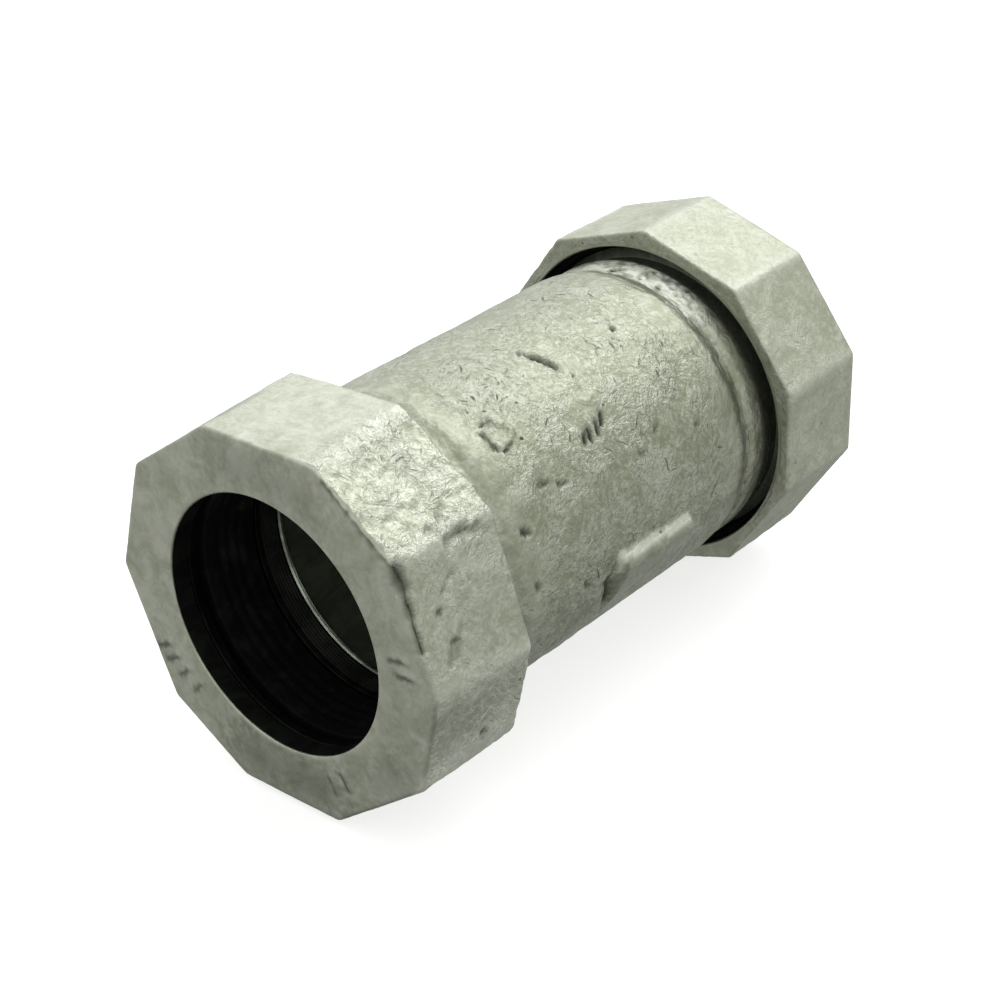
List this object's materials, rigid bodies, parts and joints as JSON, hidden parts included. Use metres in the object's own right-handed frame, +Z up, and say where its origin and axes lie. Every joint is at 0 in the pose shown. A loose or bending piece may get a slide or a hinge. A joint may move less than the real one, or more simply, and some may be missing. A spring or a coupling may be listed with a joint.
{
  "type": "conduit compression coupling",
  "caption": "Straight cast coupling with a ten-sided screw-on gland nut at each end, gripping and sealing plain-ended rigid conduit.",
  "frame": {"origin": "centre of the coupling, on the conduit axis, with both gland nuts hand tight", "axes": "+X along the conduit axis, from the near nut to the far nut; +Z up, square to the flat that the near nut lies on"},
  "size_m": [0.0886, 0.0522, 0.0508],
  "materials": {
    "body_casting": "hot-dip galvanised casting, mottled and lightly pitted",
    "nut_casting": "hot-dip galvanised casting, smooth flats with rough patches",
    "plated_steel": "zinc plated",
    "black_rubber": "matt moulded"
  },
  "bodies": {
    "coupling": {"coupling_body": "body_casting", "near_gasket": "black_rubber", "far_gasket": "black_rubber", "near_grip_ring": "plated_steel", "far_grip_ring": "plated_steel"},
    "near_washer": {"near_retaining_washer": "plated_steel"},
    "near_gland": {"near_nut": "nut_casting"},
    "far_washer": {"far_retaining_washer": "plated_steel"},
    "far_gland": {"far_nut": "nut_casting"}
  },
  "joints": [
    {"name": "near_nut_travel", "type": "slide", "parent": "coupling", "child": "near_washer", "axis": [1, 0, 0], "range_m": [-0.00663, 0.00111]},
    {"name": "near_nut_turn", "type": "hinge", "parent": "near_washer", "child": "near_gland", "pos_m": [-0.037, 0, 0], "axis": [1, 0, 0], "range_deg": [-1080, 180]},
    {"name": "far_nut_travel", "type": "slide", "parent": "coupling", "child": "far_washer", "axis": [-1, 0, 0], "range_m": [-0.00663, 0.00111]},
    {"name": "far_nut_turn", "type": "hinge", "parent": "far_washer", "child": "far_gland", "pos_m": [0.037, 0, 0], "axis": [-1, 0, 0], "range_deg": [-1080, 180]}
  ],
  "couplings": [
    {"joint": "near_nut_travel", "follows": "near_nut_turn", "m_per_rad": 0.00035153},
    {"joint": "far_nut_travel", "follows": "far_nut_turn", "m_per_rad": 0.00035153}
  ]
}
